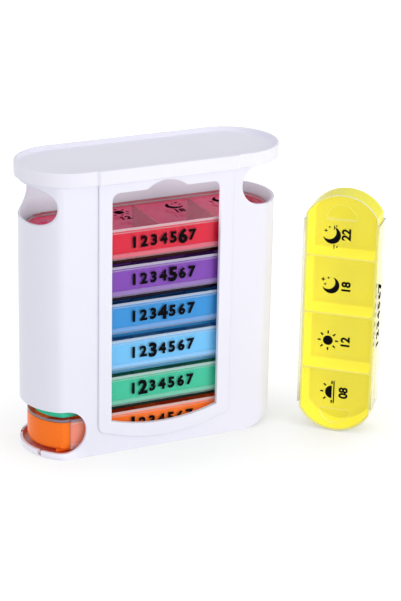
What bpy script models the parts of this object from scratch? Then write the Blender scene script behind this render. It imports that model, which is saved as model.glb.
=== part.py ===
# Weekly pill organizer: a sleeve tower for a stack of seven day boxes, each with a clear sliding cover.
# The lowest box slides out at the lower left end, and a filled one goes in at the upper right end.
# Metres, +Z up, origin at the middle of the tower's underside, front face towards -Y.
import math

import bmesh
import bpy
from mathutils import Vector

# Tower
TOWER_WIDTH = 0.1620
TOWER_DEPTH = 0.0536
TOWER_END_RADIUS = 0.0320
TOWER_CORNER_RADIUS = 0.0080
WALL = 0.0016
FLOOR = 0.0010
BASE_CORNER_RADIUS = 0.0095
OUTLET_FOOT_RADIUS = 0.0030
HEADROOM = 0.0070
SLOTS = 7

# Raised front panel and its window
PANEL_WIDTH = 0.0870
PANEL_PROUD = 0.0012
PANEL_SINK = 0.0008
PANEL_CORNER_RADIUS = 0.0060
PANEL_FOOT_RADIUS = 0.1030
PANEL_FOOT_HEIGHT = 0.0063
WINDOW_WIDTH = 0.0700
WINDOW_BELOW_TRAY = 0.0071
WINDOW_CORNER_RADIUS = 0.0050
WINDOW_FOOT_HEIGHT = 0.0156
WINDOW_FOOT_RADIUS = 0.1150
NOTCH_WIDTH = 0.0256
NOTCH_RISE = 0.0047

# Openings at the tower's ends
INLET_ROOM = 0.0023
INLET_REACH = 0.0314
FINGER_RADIUS = 0.0116
FINGER_BELOW_TRAY = 0.0021
FINGER_FROM_END = 0.0016
OUTLET_ROOM = 0.0069
OUTLET_REACH = 0.0300
RUNNER_WAY_STEP = 0.0001

# Tray on top
TRAY_OVERHANG_END = 0.0024
TRAY_OVERHANG_SIDE = 0.0039
TRAY_SKIRT = 0.0086
TRAY_RECESS = 0.0030
TRAY_PLATE = 0.0020
TRAY_RIM = 0.0016
TRAY_BULGE_LAP = 0.0015
TRAY_BULGE_PROUD = 0.0014
TRAY_BULGE_DRAFT = 0.0001
TRAY_EDGE_RADIUS = 0.0007

# Day box
BOX_END_ROOM = 0.0027
BOX_SIDE_ROOM = 0.0017
BOX_END_RADIUS = 0.0254
BOX_HEIGHT = 0.0230
BOX_WALL = 0.0013
BOX_FLOOR = 0.0012
BOX_BOTTOM_RADIUS = 0.0026
DIVIDER = 0.0010
DIVIDER_PITCH = 0.0367
POCKET_RADIUS = 0.0060
RUNNER_HEIGHT = 0.0033
RUNNER_WIDTH = 0.0016
RUNNER_INSET = 0.0070
RUNNER_FROM_TIP = 0.0107
RUNNER_SINK = 0.0006

# Clear cover
COVER_THICKNESS = 0.0017
SKIRT_THICKNESS = 0.0010
SKIRT_FROM_TIP = 0.0171
HOOK_REACH = 0.0011
HOOK_HEIGHT = 0.0027
THUMB_RADIUS = 0.0089
THUMB_FROM_TIP = 0.0146
THUMB_DEPTH = 0.0008

# The seventh box stands on its round end beside the tower
LOOSE_FROM_TOWER = 0.0388
LOOSE_FORWARD = 0.0343
LOOSE_YAW = math.radians(48.1)

# Clearances
FIT_GAP = 0.0003
CUT_OVERRUN = 0.0100

# Segments in each round
END_STEPS = 16
TOWER_END_STEPS = 24
CORNER_STEPS = 4
OPENING_STEPS = 20
PANEL_STEPS = 14
BASE_STEPS = 8
WELD_DISTANCE = 0.00001
FLAT_ANGLE = math.radians(0.5)
SMOOTH_ANGLE = math.radians(35)

# Day box sizes that follow from the room inside the tower
BOX_LENGTH = TOWER_WIDTH - 2 * WALL - 2 * BOX_END_ROOM
SKIRT_OUTSIDE = TOWER_DEPTH / 2 - WALL - BOX_SIDE_ROOM
SKIRT_INSIDE = SKIRT_OUTSIDE - SKIRT_THICKNESS
BOX_WIDTH = 2 * (SKIRT_INSIDE - FIT_GAP)
BODY_TOP = BOX_HEIGHT - COVER_THICKNESS - FIT_GAP
BOX_POCKET_FLOOR = RUNNER_HEIGHT + BOX_FLOOR
RUNNER_FROM_MIDDLE = BOX_WIDTH / 2 - RUNNER_INSET
RUNNER_LENGTH = BOX_LENGTH - 2 * RUNNER_FROM_TIP
SKIRT_LENGTH = BOX_LENGTH - 2 * SKIRT_FROM_TIP
SKIRT_BOTTOM = RUNNER_HEIGHT + FIT_GAP
HOOK_INSIDE = SKIRT_INSIDE - HOOK_REACH
HOOK_TOP = SKIRT_BOTTOM + HOOK_HEIGHT
GROOVE_INSIDE = HOOK_INSIDE - FIT_GAP
GROOVE_TOP = HOOK_TOP + FIT_GAP

# Heights in the tower that follow from the stack of boxes
STACK_BASE = FLOOR + FIT_GAP
PITCH = BOX_HEIGHT + FIT_GAP
TRAY_UNDERSIDE = STACK_BASE + SLOTS * PITCH + HEADROOM
TOWER_HEIGHT = TRAY_UNDERSIDE + TRAY_SKIRT
TRAY_FLOOR_TOP = TOWER_HEIGHT - TRAY_RECESS
POCKET_TOP = TRAY_FLOOR_TOP - TRAY_PLATE
SHELL_TOP = POCKET_TOP - FIT_GAP
WINDOW_TOP = TRAY_UNDERSIDE - WINDOW_BELOW_TRAY
INLET_BOTTOM = TRAY_UNDERSIDE - BOX_HEIGHT - INLET_ROOM
FINGER_HEIGHT = TRAY_UNDERSIDE - FINGER_BELOW_TRAY - FINGER_RADIUS
OUTLET_BOTTOM = STACK_BASE + RUNNER_HEIGHT - FIT_GAP
OUTLET_TOP = STACK_BASE + BOX_HEIGHT + OUTLET_ROOM
TRAY_WIDTH = TOWER_WIDTH + 2 * TRAY_OVERHANG_END
TRAY_DEPTH = TOWER_DEPTH + 2 * TRAY_OVERHANG_SIDE

BODY_COLOURS = [
    ("orange", (0.95, 0.17, 0.02)),
    ("green", (0.05, 0.60, 0.33)),
    ("light_blue", (0.16, 0.58, 0.95)),
    ("blue", (0.04, 0.28, 0.74)),
    ("purple", (0.22, 0.06, 0.45)),
    ("red", (0.75, 0.01, 0.05)),
    ("yellow", (0.95, 0.83, 0.03)),
]
WHITE = (0.86, 0.85, 0.90)
CLEAR = (0.93, 0.94, 0.97)


def clear_scene():
    for obj in list(bpy.data.objects):
        bpy.data.objects.remove(obj, do_unlink=True)


def new_collection(name):
    collection = bpy.data.collections.new(name)
    bpy.context.scene.collection.children.link(collection)
    return collection


def arc(centre, radius, start, end, steps):
    """Points along an arc, both ends included, angles in radians."""
    points = []
    for i in range(steps + 1):
        angle = start + (end - start) * i / steps
        points.append((centre[0] + radius * math.cos(angle), centre[1] + radius * math.sin(angle)))
    return points


def mirrored(points):
    """The same outline turned half round, so that a right end becomes the left one."""
    return [(-x, -y) for x, y in points]


def round_end(width, depth, end_radius, corner_radius, steps):
    """The right end of an outline whose end is an arc, blended into straight sides by corner arcs."""
    centre = width / 2 - end_radius
    if corner_radius == 0:
        limit = math.asin(min(1, depth / 2 / end_radius))
        return arc((centre, 0), end_radius, -limit, limit, steps)
    reach = end_radius - corner_radius
    corner_y = depth / 2 - corner_radius
    corner_x = centre + math.sqrt(reach**2 - corner_y**2)
    limit = math.atan2(corner_y, corner_x - centre)
    low = arc((corner_x, -corner_y), corner_radius, -math.pi / 2, -limit, CORNER_STEPS)
    end = arc((centre, 0), end_radius, -limit, limit, steps)
    high = arc((corner_x, corner_y), corner_radius, limit, math.pi / 2, CORNER_STEPS)
    return low[:-1] + end + high[1:]


def round_ended(width, depth, end_radius, corner_radius, steps):
    right = round_end(width, depth, end_radius, corner_radius, steps)
    return right + mirrored(right)


def tower_outline(offset, inlet_in=0, outlet_in=0):
    """The tower in plan, with the inlet's end and the outlet's end drawn in by their own amounts."""
    depth = TOWER_DEPTH + 2 * offset
    end_radius = TOWER_END_RADIUS + offset
    corner_radius = TOWER_CORNER_RADIUS + offset
    ends = []
    for drawn_in in (inlet_in, outlet_in):
        width = TOWER_WIDTH + 2 * (offset - drawn_in)
        ends.append(round_end(width, depth, end_radius, corner_radius, TOWER_END_STEPS))
    return ends[0] + mirrored(ends[1])


def rectangle(x_low, x_high, y_low, y_high):
    return [(x_low, y_low), (x_high, y_low), (x_high, y_high), (x_low, y_high)]


def bevelled(mesh, height, radius, steps):
    """Rounds the rim edges of a mesh that lie at one height."""
    bm = bmesh.new()
    bm.from_mesh(mesh)
    rim = []
    for edge in bm.edges:
        level = all(abs(vert.co.z - height) < WELD_DISTANCE for vert in edge.verts)
        if level and edge.calc_face_angle(0) > FLAT_ANGLE:
            rim.append(edge)
    bmesh.ops.bevel(bm, geom=rim, offset=radius, segments=steps, profile=0.5, affect="EDGES")
    bmesh.ops.recalc_face_normals(bm, faces=bm.faces)
    bm.to_mesh(mesh)
    bm.free()


def prism(name, outline, low, high, collection, upright=True):
    """A flat outline given thickness along Z, or along Y when it isn't upright."""
    curve = bpy.data.curves.new(name, "CURVE")
    curve.dimensions = "2D"
    curve.fill_mode = "BOTH"
    curve.extrude = (high - low) / 2
    spline = curve.splines.new("POLY")
    spline.points.add(len(outline) - 1)
    for point, (x, y) in zip(spline.points, outline):
        point.co = (x, y, 0, 1)
    spline.use_cyclic_u = True
    guide = bpy.data.objects.new(name + "_outline", curve)
    collection.objects.link(guide)
    if upright:
        guide.location = (0, 0, (low + high) / 2)
    else:
        guide.rotation_euler = (math.pi / 2, 0, 0)
        guide.location = (0, (low + high) / 2, 0)
    bpy.context.view_layer.update()
    evaluated = guide.evaluated_get(bpy.context.evaluated_depsgraph_get())
    mesh = bpy.data.meshes.new_from_object(evaluated)
    mesh.transform(guide.matrix_world)
    bpy.data.objects.remove(guide)
    bpy.data.curves.remove(curve)
    bm = bmesh.new()
    bm.from_mesh(mesh)
    bmesh.ops.remove_doubles(bm, verts=bm.verts, dist=WELD_DISTANCE)
    bmesh.ops.dissolve_limit(bm, angle_limit=FLAT_ANGLE, verts=bm.verts, edges=bm.edges)
    bmesh.ops.recalc_face_normals(bm, faces=bm.faces)
    bm.to_mesh(mesh)
    bm.free()
    mesh.materials.clear()
    mesh.name = name
    obj = bpy.data.objects.new(name, mesh)
    collection.objects.link(obj)
    return obj


def hidden(obj):
    obj.hide_render = True
    obj.display_type = "WIRE"
    return obj


def cutter(name, outline, low, high, upright=True):
    return hidden(prism(name, outline, low, high, bpy.data.collections["cutters"], upright))


def combine(obj, tool, operation):
    modifier = obj.modifiers.new(operation.title() + " " + tool.name, "BOOLEAN")
    modifier.operation = operation
    modifier.solver = "EXACT"
    modifier.object = tool


def settle(obj):
    """Replaces an object's mesh with the result of its modifiers."""
    bpy.context.view_layer.update()
    evaluated = obj.evaluated_get(bpy.context.evaluated_depsgraph_get())
    mesh = bpy.data.meshes.new_from_object(evaluated)
    obj.modifiers.clear()
    obj.data = mesh
    bm = bmesh.new()
    bm.from_mesh(mesh)
    bmesh.ops.remove_doubles(bm, verts=bm.verts, dist=WELD_DISTANCE)
    bm.to_mesh(mesh)
    bm.free()
    mesh.shade_smooth()
    mesh.set_sharp_from_angle(angle=SMOOTH_ANGLE)


def painted(obj, name, colour, roughness, alpha=1.0):
    material = bpy.data.materials.new(name)
    material.use_nodes = True
    shader = material.node_tree.nodes["Principled BSDF"]
    shader.inputs["Base Color"].default_value = (*colour, 1)
    shader.inputs["Roughness"].default_value = roughness
    shader.inputs["Metallic"].default_value = 0
    shader.inputs["Alpha"].default_value = alpha
    obj.data.materials.clear()
    obj.data.materials.append(material)


# Tower shell

def foot_arc(half_width, radius, lowest):
    """A shallow arc, lowest in the middle, from the left side to the right one."""
    spread = math.asin(half_width / radius)
    return arc((0, lowest + radius), radius, -math.pi / 2 - spread, -math.pi / 2 + spread, PANEL_STEPS)


def panel_outline():
    half = PANEL_WIDTH / 2
    inner = half - PANEL_CORNER_RADIUS
    foot = foot_arc(inner, PANEL_FOOT_RADIUS, PANEL_FOOT_HEIGHT)
    lean = math.asin(inner / PANEL_FOOT_RADIUS)
    corner_x = inner - PANEL_CORNER_RADIUS * math.sin(lean)
    corner_z = foot[-1][1] + PANEL_CORNER_RADIUS * math.cos(lean)
    corner = arc((corner_x, corner_z), PANEL_CORNER_RADIUS, -math.pi / 2 + lean, 0, CORNER_STEPS)
    shift = half - corner[-1][0]
    right = [(x + shift, z) for x, z in corner]
    left = [(-x, z) for x, z in reversed(right)]
    top = TRAY_UNDERSIDE - FIT_GAP
    return left + foot[1:-1] + right + [(half, top), (-half, top)]


def window_outline():
    half = WINDOW_WIDTH / 2
    foot = foot_arc(half, WINDOW_FOOT_RADIUS, WINDOW_FOOT_HEIGHT)
    corner_x = half - WINDOW_CORNER_RADIUS
    corner_z = WINDOW_TOP - WINDOW_CORNER_RADIUS
    right = arc((corner_x, corner_z), WINDOW_CORNER_RADIUS, 0, math.pi / 2, CORNER_STEPS)
    left = [(-x, z) for x, z in reversed(right)]
    notch_half = NOTCH_WIDTH / 2
    notch_radius = (notch_half**2 + NOTCH_RISE**2) / (2 * NOTCH_RISE)
    notch_centre = (0, WINDOW_TOP + NOTCH_RISE - notch_radius)
    spread = math.asin(notch_half / notch_radius)
    notch = arc(notch_centre, notch_radius, math.pi / 2 - spread, math.pi / 2 + spread, PANEL_STEPS)
    return foot + right + notch + left


def slot_outline(low, high, reach, side):
    """A slot open at one end of the tower, with a half-round inner end."""
    radius = (high - low) / 2
    middle = (high + low) / 2
    centre = TOWER_WIDTH / 2 - reach + radius
    inner = arc((centre, middle), radius, math.pi / 2, 3 * math.pi / 2, OPENING_STEPS)
    far = TOWER_WIDTH / 2 + CUT_OVERRUN
    right = inner + [(far, low), (far, high)]
    return right if side > 0 else [(-x, z) for x, z in reversed(right)]


def quarter_inset(radius, rise):
    """How far in a quarter round lies at a height above its foot."""
    return radius - math.sqrt(radius**2 - max(radius - rise, 0) ** 2)


def sleeve(name, offset, bottom, top, radii, collection):
    """A solid over the tower's outline whose ends are drawn in along quarter rounds at the bottom.

    The radii are the inlet end's and the outlet end's.
    """
    bm = bmesh.new()
    sections = []
    for step in range(BASE_STEPS + 1):
        rise = max(radii) * (1 - math.cos(math.pi / 2 * step / BASE_STEPS))
        sections.append(([quarter_inset(radius, rise) for radius in radii], bottom + rise))
    sections.append(([0, 0], top))
    rings = []
    for drawn_in, level in sections:
        rings.append([bm.verts.new((x, y, level)) for x, y in tower_outline(offset, *drawn_in)])
    count = len(rings[0])
    for low, high in zip(rings, rings[1:]):
        for i in range(count):
            following = (i + 1) % count
            bm.faces.new((low[i], low[following], high[following], high[i]))
    bm.faces.new(rings[0])
    bm.faces.new(rings[-1])
    bmesh.ops.dissolve_limit(bm, angle_limit=FLAT_ANGLE, verts=bm.verts, edges=bm.edges)
    bmesh.ops.recalc_face_normals(bm, faces=bm.faces)
    mesh = bpy.data.meshes.new(name)
    bm.to_mesh(mesh)
    bm.free()
    obj = bpy.data.objects.new(name, mesh)
    collection.objects.link(obj)
    return obj


def make_shell(collection):
    outer_radii = (BASE_CORNER_RADIUS, OUTLET_FOOT_RADIUS)
    inner_radii = (BASE_CORNER_RADIUS - WALL, OUTLET_FOOT_RADIUS - WALL)
    shell = sleeve("tower_shell", 0, 0, SHELL_TOP, outer_radii, collection)
    front = -TOWER_DEPTH / 2
    beyond = TOWER_DEPTH / 2 + CUT_OVERRUN
    end = TOWER_WIDTH / 2
    panel = cutter("panel", panel_outline(), front - PANEL_PROUD, front + PANEL_SINK, upright=False)
    combine(shell, panel, "UNION")
    cavity = sleeve("cavity", -WALL, FLOOR, SHELL_TOP + CUT_OVERRUN, inner_radii, bpy.data.collections["cutters"])
    hidden(cavity)
    combine(shell, cavity, "DIFFERENCE")
    window = cutter("window", window_outline(), front - CUT_OVERRUN, front + CUT_OVERRUN, upright=False)
    combine(shell, window, "DIFFERENCE")
    inlet = slot_outline(INLET_BOTTOM, TRAY_UNDERSIDE, INLET_REACH, 1)
    combine(shell, cutter("inlet", inlet, -beyond, beyond, upright=False), "DIFFERENCE")
    finger_centre = (-(end - FINGER_FROM_END), FINGER_HEIGHT)
    finger = arc(finger_centre, FINGER_RADIUS, 0, 2 * math.pi, 2 * OPENING_STEPS)[:-1]
    combine(shell, cutter("finger_hole", finger, -beyond, beyond, upright=False), "DIFFERENCE")
    outlet = slot_outline(OUTLET_BOTTOM, OUTLET_TOP, OUTLET_REACH, -1)
    combine(shell, cutter("outlet", outlet, -beyond, beyond, upright=False), "DIFFERENCE")
    # Two slots in the outlet's sill let the lowest box's runners through
    inner_x = -end + OUTLET_FOOT_RADIUS + CUT_OVERRUN
    outer_x = -end - CUT_OVERRUN
    half = RUNNER_WIDTH / 2 + FIT_GAP
    for side, name in ((1, "back"), (-1, "front")):
        middle = side * RUNNER_FROM_MIDDLE
        way = rectangle(outer_x, inner_x, middle - half, middle + half)
        tool = cutter("runner_way_" + name, way, FLOOR + RUNNER_WAY_STEP, OUTLET_BOTTOM + CUT_OVERRUN)
        combine(shell, tool, "DIFFERENCE")
    settle(shell)
    painted(shell, "tower_white", WHITE, 0.32)
    return shell


# Tray on top of the tower

def tray_outline():
    right = round_end(TRAY_WIDTH, TRAY_DEPTH, TRAY_DEPTH / 2, 0, TOWER_END_STEPS)
    front = -TRAY_DEPTH / 2
    bulge = PANEL_WIDTH / 2 + TRAY_BULGE_LAP
    shoulder = bulge + TRAY_BULGE_PROUD / 2
    foot = front - TRAY_BULGE_DRAFT
    face = front - TRAY_BULGE_PROUD
    step = [(-shoulder, foot), (-bulge, face), (bulge, face), (shoulder, foot)]
    return step + right + mirrored(right)


def make_tray(collection):
    tray = prism("top_tray", tray_outline(), TRAY_UNDERSIDE, TOWER_HEIGHT, collection)
    bevelled(tray.data, TOWER_HEIGHT, TRAY_EDGE_RADIUS, 2)
    inner_width = TRAY_WIDTH - 2 * TRAY_RIM
    inner_depth = TRAY_DEPTH - 2 * TRAY_RIM
    dish = round_ended(inner_width, inner_depth, inner_depth / 2, 0, TOWER_END_STEPS)
    combine(tray, cutter("dish", dish, TRAY_FLOOR_TOP, TOWER_HEIGHT + CUT_OVERRUN), "DIFFERENCE")
    seat = cutter("tray_seat", tower_outline(FIT_GAP), TRAY_UNDERSIDE - CUT_OVERRUN, POCKET_TOP)
    combine(tray, seat, "DIFFERENCE")
    settle(tray)
    painted(tray, "tray_white", WHITE, 0.3)
    return tray


# Day box body

def box_outline():
    return round_ended(BOX_LENGTH, BOX_WIDTH, BOX_END_RADIUS, 0, END_STEPS)


def pocket_outlines():
    """The four compartments, from the left end to the right one."""
    half = BOX_WIDTH / 2 - BOX_WALL
    gap = DIVIDER / 2
    inner = rectangle(gap, DIVIDER_PITCH - gap, -half, half)
    right = round_end(BOX_LENGTH - 2 * BOX_WALL, 2 * half, BOX_END_RADIUS - BOX_WALL, 0, END_STEPS)
    outer = right + [(DIVIDER_PITCH + gap, half), (DIVIDER_PITCH + gap, -half)]
    return [mirrored(outer), mirrored(inner), inner, outer]


def make_box_body(collection):
    body = prism("box_body", box_outline(), RUNNER_HEIGHT, BODY_TOP, collection)
    bevelled(body.data, RUNNER_HEIGHT, BOX_BOTTOM_RADIUS, CORNER_STEPS - 1)
    reach = BOX_LENGTH / 2 + CUT_OVERRUN
    beyond = BOX_WIDTH / 2 + CUT_OVERRUN
    runner_reach = RUNNER_LENGTH / 2
    half = RUNNER_WIDTH / 2
    for side, name in ((1, "back"), (-1, "front")):
        middle = side * RUNNER_FROM_MIDDLE
        runner = rectangle(-runner_reach, runner_reach, middle - half, middle + half)
        combine(body, cutter("runner_" + name, runner, 0, RUNNER_HEIGHT + RUNNER_SINK), "UNION")
        groove = rectangle(-reach, reach, *sorted((side * GROOVE_INSIDE, side * beyond)))
        combine(body, cutter("hook_groove_" + name, groove, -CUT_OVERRUN, GROOVE_TOP), "DIFFERENCE")
    for number, outline in enumerate(pocket_outlines(), 1):
        pocket = cutter("compartment_%d" % number, outline, BOX_POCKET_FLOOR, BODY_TOP + CUT_OVERRUN)
        bevelled(pocket.data, BOX_POCKET_FLOOR, POCKET_RADIUS, CORNER_STEPS - 1)
        combine(body, pocket, "DIFFERENCE")
    settle(body)
    return body


# Clear sliding cover

def cover_section():
    """The cover's cross-section seen along its length: a channel with hooked lower edges."""
    right = [
        (HOOK_INSIDE, SKIRT_BOTTOM),
        (SKIRT_OUTSIDE, SKIRT_BOTTOM),
        (SKIRT_OUTSIDE, BOX_HEIGHT),
    ]
    inside = [
        (SKIRT_INSIDE, BOX_HEIGHT - COVER_THICKNESS),
        (SKIRT_INSIDE, HOOK_TOP),
        (HOOK_INSIDE, HOOK_TOP),
    ]
    left = [(-y, z) for y, z in reversed(right)]
    left_inside = [(-y, z) for y, z in reversed(inside)]
    return right + left + left_inside + inside


def thumb_outline(side):
    """Half-round thumb recess near one end of the cover, its straight edge towards the middle."""
    centre = BOX_LENGTH / 2 - THUMB_FROM_TIP
    right = arc((centre, 0), THUMB_RADIUS, -math.pi / 2, math.pi / 2, END_STEPS)
    return right if side > 0 else mirrored(right)


def make_cover(collection):
    cover = prism("cover", box_outline(), BOX_HEIGHT - COVER_THICKNESS, BOX_HEIGHT, collection)
    half = SKIRT_LENGTH / 2
    channel = cutter("cover_channel", cover_section(), -half, half, upright=False)
    # The section runs along Y as built, so it is turned to run along the box
    quarter_turn = Vector((0, 1, 0)).rotation_difference(Vector((1, 0, 0))).to_matrix().to_4x4()
    channel.data.transform(quarter_turn)
    combine(cover, channel, "UNION")
    low = BOX_HEIGHT - THUMB_DEPTH
    high = BOX_HEIGHT + CUT_OVERRUN
    for side, name in ((1, "right"), (-1, "left")):
        combine(cover, cutter("thumb_" + name, thumb_outline(side), low, high), "DIFFERENCE")
    settle(cover)
    return cover


def place_copies(body, cover, collection):
    """Closed boxes stacked in the tower, and the last one standing on its end beside it."""
    for number, (colour_name, colour) in enumerate(BODY_COLOURS, 1):
        holder = bpy.data.objects.new("box_%d_place" % number, None)
        collection.objects.link(holder)
        if number < SLOTS:
            holder.location = (0, 0, STACK_BASE + (number - 1) * PITCH)
        else:
            holder.location = (TOWER_WIDTH / 2 + LOOSE_FROM_TOWER, -LOOSE_FORWARD, BOX_LENGTH / 2)
            holder.rotation_euler = (0, -math.pi / 2, LOOSE_YAW)
        for prototype, name in ((body, "box_%d_body" % number), (cover, "box_%d_cover" % number)):
            piece = bpy.data.objects.new(name, prototype.data.copy())
            collection.objects.link(piece)
            piece.parent = holder
            if prototype is body:
                painted(piece, "box_" + colour_name, colour, 0.35)
            else:
                painted(piece, "cover_clear_%d" % number, CLEAR, 0.08, alpha=0.3)
    for prototype in (body, cover):
        bpy.data.objects.remove(prototype)


def main():
    clear_scene()
    collection = new_collection("weekly_pill_organizer")
    new_collection("cutters")
    make_shell(collection)
    make_tray(collection)
    place_copies(make_box_body(collection), make_cover(collection), collection)
    bpy.context.view_layer.update()


main()
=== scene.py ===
import math

import bmesh
import bpy
from mathutils import Matrix, Vector


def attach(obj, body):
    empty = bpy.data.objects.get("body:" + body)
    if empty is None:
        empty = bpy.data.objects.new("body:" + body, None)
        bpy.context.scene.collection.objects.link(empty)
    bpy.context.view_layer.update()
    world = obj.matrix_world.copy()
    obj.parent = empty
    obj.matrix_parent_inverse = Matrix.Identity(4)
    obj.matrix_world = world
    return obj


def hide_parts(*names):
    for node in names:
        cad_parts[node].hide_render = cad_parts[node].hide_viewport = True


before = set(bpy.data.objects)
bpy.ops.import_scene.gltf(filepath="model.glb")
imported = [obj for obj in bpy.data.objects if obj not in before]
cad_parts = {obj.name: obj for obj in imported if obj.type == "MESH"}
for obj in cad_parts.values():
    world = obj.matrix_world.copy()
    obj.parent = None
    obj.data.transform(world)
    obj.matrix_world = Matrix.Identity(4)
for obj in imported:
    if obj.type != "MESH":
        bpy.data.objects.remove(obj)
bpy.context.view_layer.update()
print("frame loaded")

scene = bpy.context.scene
mm = 0.001  # shapes are drawn in millimetres and scaled to metres at the end
fullTurn = 2 * math.pi
quarterTurn = math.pi / 2
days = 7  # one box for each, and the last day's stands beside the tower


# Outlines

def arcPoints(centre, radius, start, end, steps):
    angles = [start + (end - start) * i / steps for i in range(steps + 1)]
    return [(centre[0] + radius * math.cos(a), centre[1] + radius * math.sin(a)) for a in angles]


def turned(points):  # the same outline turned half round
    return [(-x, -y) for x, y in points]


def flipped(points):  # left and right swapped, still in the same sense
    return [(-x, y) for x, y in reversed(points)]


def roundEnd(width, depth, endRadius, cornerRadius=0, steps=40, cornerSteps=8):
    centre = width / 2 - endRadius
    if cornerRadius == 0:
        limit = math.asin(min(1, depth / 2 / endRadius))
        return arcPoints((centre, 0), endRadius, -limit, limit, steps)
    cornerY = depth / 2 - cornerRadius
    cornerX = centre + math.sqrt((endRadius - cornerRadius) ** 2 - cornerY ** 2)
    limit = math.atan2(cornerY, cornerX - centre)
    low = arcPoints((cornerX, -cornerY), cornerRadius, -quarterTurn, -limit, cornerSteps)
    end = arcPoints((centre, 0), endRadius, -limit, limit, steps)
    high = arcPoints((cornerX, cornerY), cornerRadius, limit, quarterTurn, cornerSteps)
    return low[:-1] + end + high[1:]


def roundEnded(*sizes, **steps):  # the same sizes as for one end
    right = roundEnd(*sizes, **steps)
    return right + turned(right)


def roundedRectangle(xLow, xHigh, yLow, yHigh, radius, steps=5):
    corners = [(xHigh - radius, yLow + radius, -1), (xHigh - radius, yHigh - radius, 0),
               (xLow + radius, yHigh - radius, 1), (xLow + radius, yLow + radius, 2)]
    points = []
    for x, y, quarter in corners:
        start = quarter * quarterTurn
        points += arcPoints((x, y), radius, start, start + quarterTurn, steps)
    return points


def grown(points, distance):  # an anticlockwise outline with every point moved out
    result = []
    for i, (x, y) in enumerate(points):
        before, after = points[i - 1], points[(i + 1) % len(points)]
        first = Vector((y - before[1], before[0] - x)).normalized()
        second = Vector((after[1] - y, x - after[0])).normalized()
        move = (first + second) * (distance / (1 + first.dot(second)))
        result.append((x + move.x, y + move.y))
    return result


def footArc(halfWidth, radius, lowest):
    spread = math.asin(halfWidth / radius)
    return arcPoints((0, lowest + radius), radius, -quarterTurn - spread, -quarterTurn + spread, steps=28)


# Solids

def newPiece(name, mesh):
    piece = bpy.data.objects.new(name, mesh)
    scene.collection.objects.link(piece)
    return piece


def loft(name, rings, weld=0.003):  # closed solid through rings of points, all with the same count
    work = bmesh.new()
    made = [[work.verts.new(point) for point in ring] for ring in rings]
    count = len(rings[0])
    for low, high in zip(made, made[1:]):
        for i in range(count):
            j = (i + 1) % count
            work.faces.new((low[i], low[j], high[j], high[i]))
    work.faces.new(made[0])
    work.faces.new(made[-1])
    bmesh.ops.remove_doubles(work, verts=work.verts, dist=weld)
    bmesh.ops.recalc_face_normals(work, faces=work.faces)
    mesh = bpy.data.meshes.new(name)
    work.to_mesh(mesh)
    work.free()
    return newPiece(name, mesh)


def along(outline, level, axis="Z"):  # puts a flat outline at one level of an axis
    if axis == "Z":
        return [(u, v, level) for u, v in outline]
    if axis == "Y":
        return [(u, level, v) for u, v in outline]
    return [(level, u, v) for u, v in outline]


def prism(name, outline, low, high, axis="Z"):
    return loft(name, [along(outline, low, axis), along(outline, high, axis)])


def rounding(radius, steps, rising=True):  # (inset, height) pairs of a rounded edge
    pairs = []
    for i in range(steps + 1):
        angle = quarterTurn * i / steps
        pairs.append((radius * (1 - math.sin(angle)), radius * (1 - math.cos(angle))))
    return pairs if rising else [(inset, -height) for inset, height in reversed(pairs)]


def combine(piece, tool, operation="DIFFERENCE"):
    change = piece.modifiers.new(operation.title() + " " + tool.name, "BOOLEAN")
    change.operation = operation
    change.solver = "EXACT"
    change.object = tool
    tool.hide_render = True


def evaluatedMesh(piece):
    bpy.context.view_layer.update()
    return bpy.data.meshes.new_from_object(piece.evaluated_get(bpy.context.evaluated_depsgraph_get()))


def settle(piece, weld=0.02):  # keeps the result of the modifiers and clears the tools away
    tools = [m.object for m in piece.modifiers if m.type == "BOOLEAN"]
    mesh = evaluatedMesh(piece)
    piece.modifiers.clear()
    piece.data = mesh
    for tool in tools:
        bpy.data.objects.remove(tool)
    work = bmesh.new()
    work.from_mesh(mesh)
    bmesh.ops.remove_doubles(work, verts=work.verts, dist=weld)
    bmesh.ops.dissolve_degenerate(work, edges=work.edges, dist=weld)
    bmesh.ops.recalc_face_normals(work, faces=work.faces)
    work.to_mesh(mesh)
    work.free()
    return piece


shading = dict(sharpAngle=32, weight=80)


def toMetres(piece):
    piece.data.transform(Matrix.Scale(mm, 4))
    piece.data.shade_smooth()
    piece.data.set_sharp_from_angle(angle=math.radians(shading["sharpAngle"]))
    weighted = piece.modifiers.new("Even shading", "WEIGHTED_NORMAL")
    weighted.keep_sharp = True
    weighted.weight = shading["weight"]
    return piece


# Tower shell

tower = dict(width=162.0, depth=53.6, endRadius=32.0, cornerRadius=8.0, wall=1.6, floor=1.0,
             top=174.7, baseCorner=9.5, outletFoot=3.0)
panel = dict(width=87.0, proud=1.2, sink=0.8, top=171.1, cornerRadius=6.0, footRadius=103.0,
             footHeight=6.3, edge=0.8)
window = dict(width=70.0, top=164.3, cornerRadius=5.0, footHeight=15.6, footRadius=115.0,
              notchWidth=25.6, notchRise=4.7, outerRound=0.5, innerRound=0.3)
inlet = dict(low=146.1, high=171.4, reach=31.4)
outlet = dict(low=4.3, high=31.2, reach=30.0)
fingerHole = dict(radius=11.6, x=-79.4, z=157.7)
runnerWay = dict(middle=15.2, half=1.1, floor=1.1, inner=-68.0)
beyond = 10.0  # how far a cutter runs past what it cuts


def towerOutline(offset=0, drawnIn=(0, 0)):  # each end drawn in by its own amount, the inlet's first
    ends = [roundEnd(tower["width"] + 2 * (offset - far), tower["depth"] + 2 * offset,
                     tower["endRadius"] + offset, tower["cornerRadius"] + offset, steps=64)
            for far in drawnIn]
    return ends[0] + turned(ends[1])


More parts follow.
